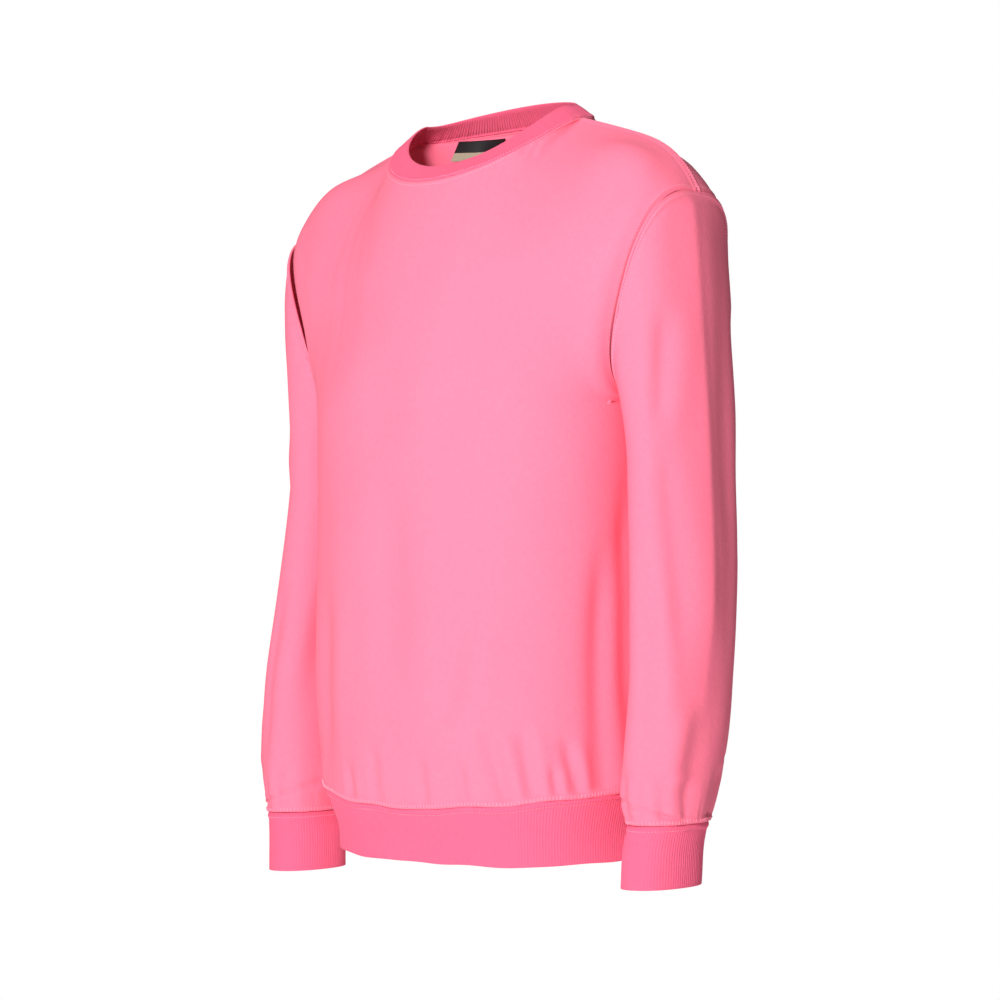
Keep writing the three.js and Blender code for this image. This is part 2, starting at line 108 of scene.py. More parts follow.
# How the sleeve leaves the armhole, outwards and down, and how it arrives at its first ring, down.
CAP_LEAVE = {"inside": (22, -90), "outside": (8, -92)}
CAP_ARRIVE = {"inside": -90, "outside": -220}
COLLAR_WIDTH = 24.0
# The collar's lean inwards in degrees, and the share of it that its first row has.
COLLAR_TILT = {"front": 50.0, "side": 56.0, "back": 34.0}
COLLAR_BOW = 0.75
LABEL = {"x": -64.0, "width": 46.0, "thickness": 0.7, "seam_depth": 3.4, "lean": 10.0, "curl": 3.0}
LABEL_BLACK = {"top": 2.8, "bottom": -9.5}
LABEL_GREY = {"top": -9.9, "bottom": -19.0}
LABEL_MESH = {"columns": 40, "rows": 22}
# The label follows the neck seam's bend. One lower corner curls out, and the ribbon has a slight wave.
LABEL_BEND = 1.05
LABEL_CORNER = {"out": 5.0, "from": 0.86, "over": 0.14, "growth": 1.6}
LABEL_WAVE = {"height": 0.5, "turn": 9, "phase": 1}


def lerp(a, b, t):
    return a + (b - a) * t


def smooth(t):
    t = np.clip(t, 0, 1)
    return t * t * (3 - 2 * t)


def boxy(v, power):
    return np.sign(v) * np.abs(v) ** (2 / power)


def unit(v):
    return v / np.maximum(np.linalg.norm(v, axis=-1, keepdims=True), 1e-9)


def curve(start, leave, end, arrive, t):
    """A smooth curve from start to end that leaves and arrives as given."""
    return (
        start * (2 * t**3 - 3 * t**2 + 1)
        + leave * (t**3 - 2 * t**2 + t)
        + end * (3 * t**2 - 2 * t**3)
        + arrive * (t**3 - t**2)
    )


def section_at(rows, z):
    """Every column of a table at the heights z, on a smooth curve through its rows."""
    rows = sorted(rows, key=lambda row: row["z"])
    heights = np.array([row["z"] for row in rows], float)
    k = np.clip(np.searchsorted(heights, z, side="right") - 1, 0, len(rows) - 2)
    span = heights[k + 1] - heights[k]
    t = np.clip((z - heights[k]) / span, 0, 1)
    found = {}
    for name in rows[0]:
        values = np.array([row[name] for row in rows], float)
        slopes = np.gradient(values, heights)
        found[name] = curve(values[k], slopes[k] * span, values[k + 1], slopes[k + 1] * span, t)
    return found


def armhole(angle, side):
    """A point of the armhole: 0 is its back, 90 degrees its top, 180 its front and 270 the underarm."""
    y = ARMHOLE["y"] + ARMHOLE["half_depth"] * boxy(np.cos(angle), ARMHOLE["power"])
    z = ARMHOLE["z"] + ARMHOLE["half_height"] * boxy(np.sin(angle), ARMHOLE["power"])
    height = np.clip((z - UNDERARM_Z) / (SHOULDER_TIP[2] - UNDERARM_Z), 0, 1)
    x = lerp(ARMHOLE["low_x"], SHOULDER_TIP[0], height ** ARMHOLE["rise"])
    return np.stack([side * x, y, z], -1)


def neck_seam(turn, side, face):
    """The seam between body and collar, from the centre (0) to the shoulder (a quarter turn)."""
    neck_y = np.where(face < 0, NECK_FRONT["y"], NECK_BACK["y"])
    neck_z = np.where(face < 0, NECK_FRONT["z"], NECK_BACK["z"])
    deep = boxy(np.cos(turn), NECK_POWER)
    x = side * NECK_POINT[0] * boxy(np.sin(turn), NECK_POWER)
    return np.stack([x, lerp(NECK_POINT[1], neck_y, deep), lerp(NECK_POINT[2], neck_z, deep**NECK_SWEEP)], -1)


def top_edge(across, face):
    """The neckline in the middle of a panel, and the shoulder seams on both sides of it."""
    side = np.where(across < 0, -1.0, 1.0)
    share = np.minimum(np.abs(across) / NECK_SHARE, 1)
    along = np.clip((np.abs(across) - NECK_SHARE) / (1 - NECK_SHARE), 0, 1)
    fall = lerp(along ** SHOULDER_FALL["turn"], along, SHOULDER_FALL["slope"])
    seam_x = side * lerp(NECK_POINT[0], SHOULDER_TIP[0], along)
    seam_z = lerp(NECK_POINT[2], SHOULDER_TIP[2], fall)
    seam = np.stack([seam_x, np.full_like(across, SEAM_Y), seam_z], -1)
    neck = neck_seam(share * math.pi / 2, side, np.full_like(across, face))
    return np.where((np.abs(across) <= NECK_SHARE)[..., None], neck, seam)


def hem_lift(share, height):
    """The hem's rise at a share of the body's half width. It hangs lower on the left."""
    return height * np.abs(share) ** HEM_LIFT["power"] - HEM_LIFT["tilt"] * share


def body_grid(across, up, face):
    """The outer face of a panel: up is 0 at the hem seam, 1 at the underarm and 2 at the top."""
    rise = np.maximum(0, up - 1)[:, None]
    across = across[None, :]
    row_z = lerp(HEM_SEAM_Z, UNDERARM_Z, np.minimum(up, 1))[:, None]
    row = section_at(BODY, row_z)
    neck = NECK_FRONT if face < 0 else NECK_BACK
    bottom = 1.5 * math.pi if face < 0 else -0.5 * math.pi
    edge = armhole(bottom + face * math.pi * rise, 1)
    neck_depth = abs(neck["y"] - SEAM_Y)
    full = row["front"] if face < 0 else row["back"]
    depth = lerp(neck_depth, full, np.cos(rise * math.pi / 2))
    edge_depth = np.minimum(np.abs(edge[..., 1] - SEAM_Y) / depth, 1) ** (BODY_POWER / 2)
    last_turn = np.where(rise > 0, np.arccos(edge_depth), math.pi / 2)
    wide_end = boxy(np.sin(last_turn), BODY_POWER)
    reach = np.where(rise > 0, edge[..., 0] / wide_end, row["half_width"])
    turn = across * last_turn
    plain_wide = boxy(np.sin(across * math.pi / 2), BODY_POWER)
    towards_edge = smooth(np.abs(plain_wide))
    level = row_z + hem_lift(plain_wide, HEM_LIFT["seam"]) * (1 - np.minimum(up, 1))[:, None]
    centre_z = np.where(rise > 0, lerp(UNDERARM_Z, neck["z"], rise), level)
    edge_z = np.where(rise > 0, edge[..., 2], level)
    x = reach * boxy(np.sin(turn), BODY_POWER)
    y = SEAM_Y + face * depth * boxy(np.cos(turn), BODY_POWER)
    points = np.stack([x, y, lerp(centre_z, edge_z, towards_edge)], -1)
    lean = 0
    for step, weight in LEAN_WEIGHTS.items():
        beside = np.clip(across + step * LEAN_SPREAD * (1 - rise), -1, 1)
        lean = lean + (top_edge(beside, face) - plain_top(beside, face)) * weight
    leaning = np.where(rise > 0, rise**2, 0)[..., None]
    return points + lean * leaning + shoulder_swell(across, rise, face)


def plain_top(across, face):
    """The top row as the plain section would have it."""
    neck = NECK_FRONT if face < 0 else NECK_BACK
    wide = boxy(np.sin(across * math.pi / 2), BODY_POWER)
    deep = boxy(np.cos(across * math.pi / 2), BODY_POWER)
    z = lerp(neck["z"], SHOULDER_TIP[2], smooth(np.abs(wide)))
    return np.stack([SHOULDER_TIP[0] * wide, SEAM_Y + (neck["y"] - SEAM_Y) * deep, z], -1)


def shoulder_swell(across, rise, face):
    """The fullness of the cloth over the shoulder: outwards, away from the seam and up."""
    wide = np.abs(across)
    place = np.exp(-(((rise - SWELL["rise"]) / SWELL["rise_width"]) ** 2))
    place = place * np.exp(-(((wide - SWELL["across"]) / SWELL["across_width"]) ** 2))
    place = place * smooth((1 - rise) * SWELL["edge_fade"]) * smooth((1 - wide) * SWELL["edge_fade"])
    height = SHOULDER_FULL["front" if face < 0 else "back"] * place
    out = height * np.sign(across) * SWELL_WAY["out"]
    return np.stack([out, height * face * SWELL_WAY["away"], height * SWELL_WAY["up"]], -1)


def sleeve_ring(row, turn, side):
    """A ring round a sleeve: turn 0 is its outside, a quarter its back, a half against the body."""
    x = side * (row["x"] + row["half_x"] * boxy(np.cos(turn), SLEEVE_POWER))
    y = row["y"] + row["half_y"] * boxy(np.sin(turn), SLEEVE_POWER)
    return np.stack([x, y, row["z"] + 0 * y], -1)


def sleeve_cap(t, turn, side):
    """The stretch from the armhole to the first level ring."""
    start = armhole(math.pi / 2 - turn, side)
    end = sleeve_ring(SLEEVE[0], turn, side)
    outside = (1 + np.cos(turn)) / 2
    leave_out = lerp(CAP_LEAVE["inside"][0], CAP_LEAVE["outside"][0], outside)
    leave_down = lerp(CAP_LEAVE["inside"][1], CAP_LEAVE["outside"][1], outside)
    leave = np.stack([side * leave_out, 0 * turn, leave_down], -1)
    arrive = np.stack([0 * turn, 0 * turn, lerp(CAP_ARRIVE["inside"], CAP_ARRIVE["outside"], outside)], -1)
    return curve(start, leave, end, arrive, t[:, None, None])


# Folds and creases

FOLD_STRENGTH = 1.7
# A crease fades past its ends, has a fainter swell beside it, and grows over a part of its length.
CREASE = {"end": 1.2, "swell": 0.35, "swell_at": 1.9, "growth": (3, 3)}
PRESSED = {"corner": 2.2, "growth": (4, 2.5)}


def beside(place, z, line, wrap, growth):
    """The distance to the side of a line, and how far the line has grown there."""
    start, top, end, bottom, _, _, fade_top, fade_bottom = line
    along = np.clip((top - z) / (top - bottom), 0, 1)
    away = place - lerp(start, end, along)
    if wrap:
        away = away - wrap * np.round(away / wrap)
    grown = lerp(1, smooth(along * growth[0]), fade_top)
    return away, grown * lerp(1, smooth((1 - along) * growth[1]), fade_bottom)


def crease(place, z, line, wrap=None):
    """One soft trough (depth under 0) or ridge, with a fainter swell beside it."""
    _, top, _, bottom, width, depth, _, _ = line
    away, grown = beside(place, z, line, wrap, CREASE["growth"])
    over = np.where(z > top, z - top, 0) + np.where(z < bottom, bottom - z, 0)
    ends = np.exp(-((over / (CREASE["end"] * width)) ** 2))
    swell = np.exp(-(((away - CREASE["swell_at"] * width) / width) ** 2))
    shape = np.exp(-((away / width) ** 2)) - CREASE["swell"] * swell
    return FOLD_STRENGTH * depth * shape * grown * ends


def ridge_line(place, z, line, wrap):
    """A pressed edge: two flat flanks that meet in a soft corner."""
    width, depth = line[4:6]
    away, grown = beside(place, z, line, wrap, PRESSED["growth"])
    corner = PRESSED["corner"]
    return depth * grown * np.exp(-(np.sqrt(away**2 + corner**2) - corner) / width)


# Columns of each row: place and height of the upper end, the same of the lower end, width, depth, then how
# much it fades at its upper and lower end. Places are millimetres of cloth from the middle of the panel.
FRONT_CREASES = [
    (-5, -330, -3, -575, 24, -2.2, 1, 1),
    (84, -470, 50, -612, 17, -2.6, 1, 1),
    (98, -585, 118, -668, 9, -2.6, 1, 0),
    (134, -585, 144, -668, 8, -2.4, 1, 0),
    (163, -626, 168, -668, 5, -2.0, 1, 0),
    (176, -596, 191, -668, 7, -2.4, 1, 0),
    (-108, -440, -120, -650, 17, -2.8, 1, 1),
    (-72, -622, -67, -668, 6, -1.8, 1, 0),
    (-24, -215, -20, -345, 26, -1.6, 1, 1),
    (74, -245, 66, -340, 20, -1.8, 1, 1),
    (108, -235, 98, -300, 14, -1.4, 1, 1),
    (26, -612, 31, -668, 7, -1.6, 1, 0),
    (-34, -600, -30, -668, 8, -1.5, 1, 0),
    (70, -618, 75, -668, 6, -1.8, 1, 0),
    (-152, -608, -149, -668, 8, -2.2, 1, 0),
    (-178, -380, -190, -640, 15, -2.8, 1, 1),
    (222, -400, 212, -660, 13, -3.2, 1, 0),
    (-226, -330, -236, -650, 13, -2.8, 1, 1),
    (250, -330, 246, -645, 12, -2.4, 1, 1),
    (110, -20, 106, -44, 5, -1.6, 0, 1),
    (124, -30, 121, -50, 4, -1.0, 0, 1),
    (-112, -24, -108, -48, 5, -1.4, 0, 1),
]
BACK_CREASES = [
    (6, -260, 2, -470, 26, -2.2, 1, 1),
    (-60, -350, -84, -560, 20, -2.4, 1, 1),
    (72, -330, 96, -600, 18, -2.6, 1, 1),
    (140, -420, 152, -655, 15, -2.8, 1, 0),
    (-142, -440, -128, -640, 16, -2.8, 1, 1),
    (-196, -330, -206, -640, 14, -2.8, 1, 1),
    (208, -320, 214, -650, 13, -2.8, 1, 0),
    (-24, -600, -28, -668, 8, -2.0, 1, 0),
    (20, -616, 24, -668, 6, -1.8, 1, 0),
    (54, -604, 50, -668, 8, -2.0, 1, 0),
    (-62, -620, -66, -668, 6, -1.8, 1, 0),
    (-98, -590, -92, -668, 9, -2.2, 1, 0),
    (112, -622, 116, -668, 7, -2.0, 1, 0),
    (-170, -606, -164, -668, 8, -2.2, 1, 0),
    (182, -612, 178, -668, 7, -2.0, 1, 0),
    (120, -40, 60, -120, 18, -2.2, 1, 1),
    (-118, -42, -66, -126, 18, -2.0, 1, 1),
]
# On a sleeve the place is degrees round it: 0 outside, 90 back, 180 against the body, 270 front.
SLEEVE_CREASES = [
    (302, -300, 322, -560, 15, -2.2, 1, 1),
    (330, -560, 316, -672, 13, 2.2, 1, 1),
    (276, -420, 290, -660, 14, -2.6, 1, 1),
    (312, -628, 308, -684, 12, -2.4, 1, 0),
    (338, -638, 342, -684, 10, -1.6, 1, 0),
    (288, -638, 284, -684, 11, -1.8, 1, 0),
    (2, -616, 358, -684, 10, -1.8, 1, 0),
    (26, -628, 30, -684, 11, -1.8, 1, 0),
    (58, -280, 46, -620, 16, -2.8, 1, 1),
    (96, -340, 112, -600, 16, -2.4, 1, 1),
    (74, -624, 70, -684, 12, -2.2, 1, 0),
    (128, -618, 134, -684, 13, -2.2, 1, 0),
    (164, -628, 160, -684, 12, -2.0, 1, 0),
    (200, -300, 214, -600, 16, -2.2, 1, 1),
    (246, -628, 250, -684, 12, -2.0, 1, 0),
    (318, -190, 296, -330, 13, -2.4, 1, 1),
    (52, -190, 74, -320, 13, -2.4, 1, 1),
]
SLEEVE_EDGE = (-7, -96, -12, -640, 17, 5.0, 0, 1)
SLEEVE_HOLLOW = (14, -110, 8, -600, 15, -1.2, 1, 1)


# Slow swellings of the cloth. Columns: shift of the noise, its length along X, Y and Z, and height.
WANDER = {
    "body": [(0, (95, 95, 300), 3.6), (400, (40, 40, 120), 1.1)],
    "sleeve": [(900, (70, 70, 230), 2.6), (-300, (30, 30, 90), 0.8)],
    "rib": [(150, (60, 60, 60), 1.0)],
}
# Puckers at a seam. Columns: reach from the seam, height and wave length.
PUCKERS = {
    "body": [(22, 0.9, 21), (7, 0.35, 9.5)],
    "sleeve": [(18, 0.9, 17), (6, 0.35, 8.5)],
    "collar": [(12, 0.5, 16)],
}
# Columns: share of the puckers' wave length, height and phase.
PUCKER_WAVES = [(1.0, 1.0, 0.7), (0.63, 0.8, 2.1), (1.71, 0.6, 4.0)]
HIGHEST_PUCKER = sum(part for _, part, _ in PUCKER_WAVES)
# Columns: waves round the body, height and phase.
SEAM_WAVES = [(5, 1.1, 0.6), (11, 0.8, 2.0), (17, 0.5, 1.0)]
# A sewn seam from its edge inwards: a groove, a swell over the seam allowance and a faint channel behind it.
SEAM_ROLL = {"groove": 1.3, "swell_at": 3.4, "swell": 2.2, "channel_at": 7.4, "channel": 1.4, "share": 0.35}
# Each seam's own roll. Columns: depth of the groove and height of the swell.
ROLLS = {"hem": (0.5, 0.8), "side": (0.9, 0.25), "armhole": (0.9, 0.6), "top": (0.9, 0.65)}
ROLLS.update({"cap": (1.0, 0.6), "cuff": (0.5, 0.8), "collar": (1.0, 0.5), "band": (0.4, 0.7)})


def wander(points, kind):
    """Slow uneven swelling of the cloth, longer upwards than across on the body and sleeves."""
    total = 0
    for shift, scale, height in WANDER[kind]:
        flat = (points + shift).reshape(-1, 3) / np.array(scale)
        values = np.array([noise.noise(Vector(p)) for p in flat])
        total = total + height * values.reshape(points.shape[:-1])
    return total


def gathers(place, away, kind):
    """Small uneven puckers where cloth is eased into a seam."""
    total = 0
    for reach, height, wave in PUCKERS[kind]:
        turn = TURN * place / wave
        ripple = sum(part * np.sin(turn / share + phase) for share, part, phase in PUCKER_WAVES)
        total = total + height * ripple / HIGHEST_PUCKER * np.exp(-away / reach)
    return total


def seam_wave(points):
    """The waistband's seam isn't quite level."""
    angle = np.arctan2(points[..., 1], points[..., 0])
    return sum(height * np.sin(count * angle + phase) for count, height, phase in SEAM_WAVES)


def seam_roll(away, gap_depth, bead):
    """Cloth rolls into a seam, and swells over the seam allowance behind it."""
    roll = -gap_depth * np.exp(-((away / SEAM_ROLL["groove"]) ** 2))
    swell = bead * np.exp(-(((away - SEAM_ROLL["swell_at"]) / SEAM_ROLL["swell"]) ** 2))
    channel = np.exp(-(((away - SEAM_ROLL["channel_at"]) / SEAM_ROLL["channel"]) ** 2))
    return roll + swell - SEAM_ROLL["share"] * bead * channel


# Meshes


def grid_normals(points, closed):
    """The outward normals of a grid of points, whose rows may close into rings."""
    if closed:
        across = np.roll(points, -1, axis=1) - np.roll(points, 1, axis=1)
    else:
        across = np.gradient(points, axis=1)
    return unit(np.cross(across, np.gradient(points, axis=0)))


def lengths(points, axis):
    """Millimetres of cloth from the first row or column."""
    steps = np.linalg.norm(np.diff(points, axis=axis), axis=-1)
    start = np.zeros_like(np.take(steps, [0], axis=axis))
    return np.concatenate([start, np.cumsum(steps, axis=axis)], axis=axis)


def make_object(name, points, faces, material, cloth_uv=None):
    """A smooth mesh in the scene, riding on the root body."""
    mesh = bpy.data.meshes.new(name)
    mesh.vertices.add(len(points))
    mesh.vertices.foreach_set("co", (points * MM).astype(np.float32).ravel())
    faces = np.asarray(faces, np.int32)
    sides = faces.shape[1]
    mesh.loops.add(faces.size)
    mesh.loops.foreach_set("vertex_index", faces.ravel())
    mesh.polygons.add(len(faces))
    mesh.polygons.foreach_set("loop_start", np.arange(0, faces.size, sides, dtype=np.int32))
    mesh.polygons.foreach_set("loop_total", np.full(len(faces), sides, np.int32))
    mesh.polygons.foreach_set("use_smooth", np.ones(len(faces), bool))
    if cloth_uv is not None:
        layer = mesh.uv_layers.new(name="cloth")
        layer.data.foreach_set("uv", (cloth_uv[faces.ravel()] * MM).astype(np.float32).ravel())
    mesh.update(calc_edges=True)
    mesh.validate()
    obj = bpy.data.objects.new(name, mesh)
    bpy.context.scene.collection.objects.link(obj)
    obj.data.materials.append(material)
    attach(obj, "root")
    return obj


# The normals of a band's end rows are flattened by this, so its rims don't tip up or down.
RIM_LEVEL = np.array([1, 1, 0.3])


def rim(edge, normals, outwards, thickness, bulge, steps=4):
    """Rows of a rounded edge between the outer and the inner face."""
    centre = edge - normals * thickness / 2
    angles = np.arange(1, steps) / steps * math.pi
    half = thickness / 2
    return [centre + normals * half * math.cos(a) + outwards * half * bulge * math.sin(a) for a in angles]


def tube(name, outer, thickness, material, bulge_first, bulge_last):
    """A closed band or sleeve: outer rows, a rounded edge, inner rows and the other rounded edge."""
    normals = grid_normals(outer, True)
    for row in (0, -1):
        normals[row] = unit(normals[row] * RIM_LEVEL)
    inner = outer - normals * thickness
    last_out = unit(outer[-1] - outer[-2])
    first_out = unit(outer[0] - outer[1])
    rows = [*outer, *rim(outer[-1], normals[-1], last_out, thickness, bulge_last), *inner[::-1]]
    rows += rim(outer[0], normals[0], first_out, thickness, bulge_first)[::-1]
    rows = np.array(rows)
    count, around = rows.shape[:2]
    j, i = np.meshgrid(np.arange(count), np.arange(around), indexing="ij")
    next_j, next_i = (j + 1) % count, (i + 1) % around
    faces = np.stack([j * around + i, j * around + next_i, next_j * around + next_i, next_j * around + i], -1)
    up = lengths(rows, 0)
    closed = np.concatenate([rows, rows[:, :1]], axis=1)
    widest = lengths(closed, 1)[:, :-1].max(axis=0)
    uv = np.stack([np.broadcast_to(widest, up.shape), up], -1)
    return make_object(name, rows.reshape(-1, 3), faces.reshape(-1, 4), material, uv.reshape(-1, 2))


def panel(name, outer, normals, thickness, material):
    """An open panel with a flat edge all round."""
    inner = outer - normals * thickness
    rows, count = outer.shape[:2]
    layer = rows * count
    j, i = np.meshgrid(np.arange(rows - 1), np.arange(count - 1), indexing="ij")
    a = j * count + i
    front = np.stack([a, a + 1, a + count + 1, a + count], -1).reshape(-1, 4)
    faces = [front, front[:, ::-1] + layer]
    i = np.arange(count - 1)
    low, high = i, (rows - 1) * count + i
    faces.append(np.stack([low, low + layer, low + 1 + layer, low + 1], -1))
    faces.append(np.stack([high, high + 1, high + 1 + layer, high + layer], -1))
    j = np.arange(rows - 1) * count
    faces.append(np.stack([j, j + count, j + count + layer, j + layer], -1))
    j = j + count - 1
    faces.append(np.stack([j, j + layer, j + count + layer, j + count], -1))
    points = np.concatenate([outer.reshape(-1, 3), inner.reshape(-1, 3)])
    middle = count // 2
    across = lengths(outer, 1)
    uv = np.stack([across - across[:, middle : middle + 1], lengths(outer, 0)], -1).reshape(-1, 2)
    return make_object(name, points, np.concatenate(faces), material, np.concatenate([uv, uv]))


# Pieces

# Rows in from a sewn edge and from a free one in millimetres, and columns in from a panel's side as shares.
EDGE_STEPS = np.array([0, 0.7, 1.4, 2.2, 3.0, 4.0, 5.0, 6.2, 7.6, 9.2, 11.0, 13.5, 16.5])
FREE_STEPS = np.array([0, 1.2, 2.6, 4.5])
SIDE_STEPS = np.array([0, 0.0008, 0.0018, 0.003, 0.0045, 0.0065, 0.009, 0.012, 0.016, 0.021, 0.027, 0.035])
PANEL_MIDDLE = {"rows": 170, "columns": 76}
SLEEVE_MESH = {"columns": 168, "cap_rows": 48, "arm_rows": 92}
# The cloth's length from the underarm to a panel's top, and from the armhole to the sleeve's first ring.
UPPER_RUN = 215
CAP_RUN = 190
# Lengths over which folds, and slow swellings, fade towards an edge.
FADE = {"side": 12, "top": 10, "calm_side": 30, "calm_top": 40, "hem": 11}
SLEEVE_FADE = {"top": 16, "calm_top": 40, "calm_cuff": 25, "cuff": 9}
FLAT_AT_RIB = 0.15
# The body's roll beside the armhole: how fast it starts and ends, its swell and its dip at the seam.
ARMHOLE_FOLD = {"start": 8, "end": 3, "swell": 2.2, "at": 17, "width": 12, "dip": 1.6, "dip_width": 5}
# The uneven hem seam fades over this length, and is this much fainter at the hem's lower edge.
WAVE_REACH = 25
HEM_EDGE_WAVE = 0.5
SHOULDER_GAP = 0.12
# The panel's edge faces sideways below the underarm, and turns into the armhole above it.
EDGE_TURN = 6
EDGE_DROP = -0.2
# How far the rim of a band bulges out, by half its thickness.
BULGE = {"sewn": 0.3, "free": 1.0}
# Where the sleeve's side against the body starts and how wide it blends, by the cosine of the turn.
INNER_SIDE = {"from": 0.2, "over": 0.5}


def panel_rows():
    """Rows of a panel, close together at the hem seam and at the top."""
    first = EDGE_STEPS / (UNDERARM_Z - HEM_SEAM_Z)
    last = 2 - EDGE_STEPS / UPPER_RUN
    middle = np.linspace(first[-1], last[-1], PANEL_MIDDLE["rows"])
    return np.concatenate([first[:-1], middle, last[::-1][1:]])


def panel_columns():
    """Columns of a panel, close together at its sides."""
    side = 1 - SIDE_STEPS
    middle = np.linspace(0, side[-1], PANEL_MIDDLE["columns"])
    half = np.concatenate([middle, side[::-1][1:]])
    return np.concatenate([-half[:0:-1], half])


def armhole_roll(up, from_side):
    """Beside the armhole the body rolls over the seam."""
    within = (up > 1) * smooth((up - 1) * ARMHOLE_FOLD["start"]) * smooth((2 - up) * ARMHOLE_FOLD["end"])
    swell = np.exp(-(((from_side - ARMHOLE_FOLD["at"]) / ARMHOLE_FOLD["width"]) ** 2))
    dip = np.exp(-((from_side / ARMHOLE_FOLD["dip_width"]) ** 2))
    return within[:, None] * (ARMHOLE_FOLD["swell"] * swell - ARMHOLE_FOLD["dip"] * dip)


def edge_normals(points, final, up, across):
    """The way through the cloth of a panel, turned along its edges so that neighbours meet edge to edge."""
    through = final.copy()
    outwards = points[:, -1] - np.array([0, ARMHOLE["y"], ARMHOLE["z"]])
    outwards[:, 0] = 0
    outwards = unit(outwards)
    outwards[:, 2] = np.maximum(outwards[:, 2], EDGE_DROP)
    blend = smooth((up - 1) * EDGE_TURN)[:, None]
    for column in (0, -1):
        sideways = np.array([np.sign(points[0, column, 0]), 0, 0])
        through[:, column] = unit(lerp(sideways, outwards, blend))
    through[-1, np.abs(across) >= NECK_SHARE] = (0, 0, 1)
    return through


def body_piece(name, face, creases, material):
    """One panel of the body, with its outer grid and normals for the sewing."""
    way = 1 if face < 0 else -1
    up = panel_rows()
    across = panel_columns() * way
    points = body_grid(across, up, face)
    normals = grid_normals(points, False)
    run = lengths(points, 1)
    middle = len(across) // 2
    place = (run - run[:, middle : middle + 1]) * way
    from_side = np.minimum(run, run[:, -1:] - run)
    from_hem = lengths(points, 0)
    from_top = from_hem[-1:] - from_hem
    z = points[..., 2]
    depth = sum(crease(place, z, line) for line in creases)
    depth = depth * smooth(from_side / FADE["side"]) * smooth(from_top / FADE["top"])
    calm = smooth(from_side / FADE["calm_side"]) * smooth(from_top / FADE["calm_top"])
    depth += calm * wander(points, "body") + gathers(place, from_hem, "body")
    depth = depth * lerp(FLAT_AT_RIB, 1, smooth(from_hem / FADE["hem"])) + armhole_roll(up, from_side)
    depth += seam_roll(from_hem, *ROLLS["hem"]) + seam_roll(from_top, *ROLLS["top"])
    upper = (up > 1)[:, None]
    depth += np.where(upper, seam_roll(from_side, *ROLLS["armhole"]), seam_roll(from_side, *ROLLS["side"]))
    outer = points + normals * depth[..., None]
    outer[..., 2] += seam_wave(points) * np.exp(-from_hem / WAVE_REACH)
    nearest = SEAM_Y + face * SHOULDER_GAP
    outer[..., 1] = np.minimum(outer[..., 1], nearest) if face < 0 else np.maximum(outer[..., 1], nearest)
    final = grid_normals(outer, False)
    return panel(name, outer, edge_normals(points, final, up, across), CLOTH, material), outer, final


RING_SAMPLES = 4001


def even_turns(ring, count):
    """Turns at equal steps of cloth round a ring, and its girth."""
    fine = np.linspace(0, TURN, RING_SAMPLES)
    run = lengths(ring(fine), 0)
    return np.interp(np.arange(count) / count * run[-1], run, fine), run[-1]


def sleeve_piece(name, side, material):
    """One sleeve from the armhole to the cuff seam, with its outer grid and normals for the sewing."""
    turns, _ = even_turns(lambda turn: sleeve_ring(SLEEVE[1], turn, 1), SLEEVE_MESH["columns"])
    turns = -side * turns
    near_cap = EDGE_STEPS / CAP_RUN
    cap_rows = np.concatenate([near_cap[:-1], np.linspace(near_cap[-1], 1, SLEEVE_MESH["cap_rows"])])
    last = CUFF_SEAM_Z + EDGE_STEPS[::-1]
    heights = np.linspace(SLEEVE[0]["z"], last[0], SLEEVE_MESH["arm_rows"])[1:-1]
    rows = section_at(SLEEVE, np.concatenate([heights, last])[:, None])
    points = np.concatenate([sleeve_cap(cap_rows, turns, side), sleeve_ring(rows, turns[None, :], side)])
    points[0, :, 0] += side * SEAM_GAP
    normals = grid_normals(points, True)
    from_top = lengths(points, 0)
    from_cuff = from_top[-1:] - from_top
    place = np.degrees(turns)[None, :] % 360
    z = points[..., 2]
    depth = sum(crease(place, z, line, 360) for line in SLEEVE_CREASES)
    depth += ridge_line(place, z, SLEEVE_EDGE, 360) + crease(place, z, SLEEVE_HOLLOW, 360)
    depth = depth * smooth(from_top / SLEEVE_FADE["top"])
    calm = smooth(from_top / SLEEVE_FADE["calm_top"]) * smooth(from_cuff / SLEEVE_FADE["calm_cuff"])
    depth += calm * wander(points, "sleeve")
    depth += gathers(lengths(points[-1], 0)[None, :], from_cuff, "sleeve")
    depth = depth * lerp(FLAT_AT_RIB, 1, smooth(from_cuff / SLEEVE_FADE["cuff"]))
    depth += seam_roll(from_top, *ROLLS["cap"]) + seam_roll(from_cuff, *ROLLS["cuff"])
    # The body pushes the sleeve's inner side flat, so nothing there swells.
    inner_side = smooth((-np.cos(np.radians(place)) - INNER_SIDE["from"]) / INNER_SIDE["over"])
    depth = np.where(depth > 0, depth * (1 - inner_side), depth)
    outer = points + normals * depth[..., None]
    obj = tube(name, outer, CLOTH, material, BULGE["sewn"], BULGE["sewn"])
    return obj, outer, grid_normals(outer, True)


# Ribs: the width of a raised and a sunk one together, and how far they stand up.
RIB_PITCH = 2.9
RIB_HEIGHT = 0.42
POINTS_PER_RIB = 5
# The ribs flatten over this length at both edges of a band, down to this share.
RIB_END = {"length": 2, "share": 0.15}
# The rows between a band's edges lie about this far apart.
BAND_ROW = 6


def band_heights(width, sewn_first):
    """Rows of a band as shares of its width, close together at its seam."""
    sewn, free = EDGE_STEPS[:9] / width, FREE_STEPS / width
    start, end = (sewn, 1 - free) if sewn_first else (free, 1 - sewn)
    middle = np.linspace(start[-1], end[-1], int(width / BAND_ROW))
    return np.concatenate([start[:-1], middle, end[::-1][1:]])


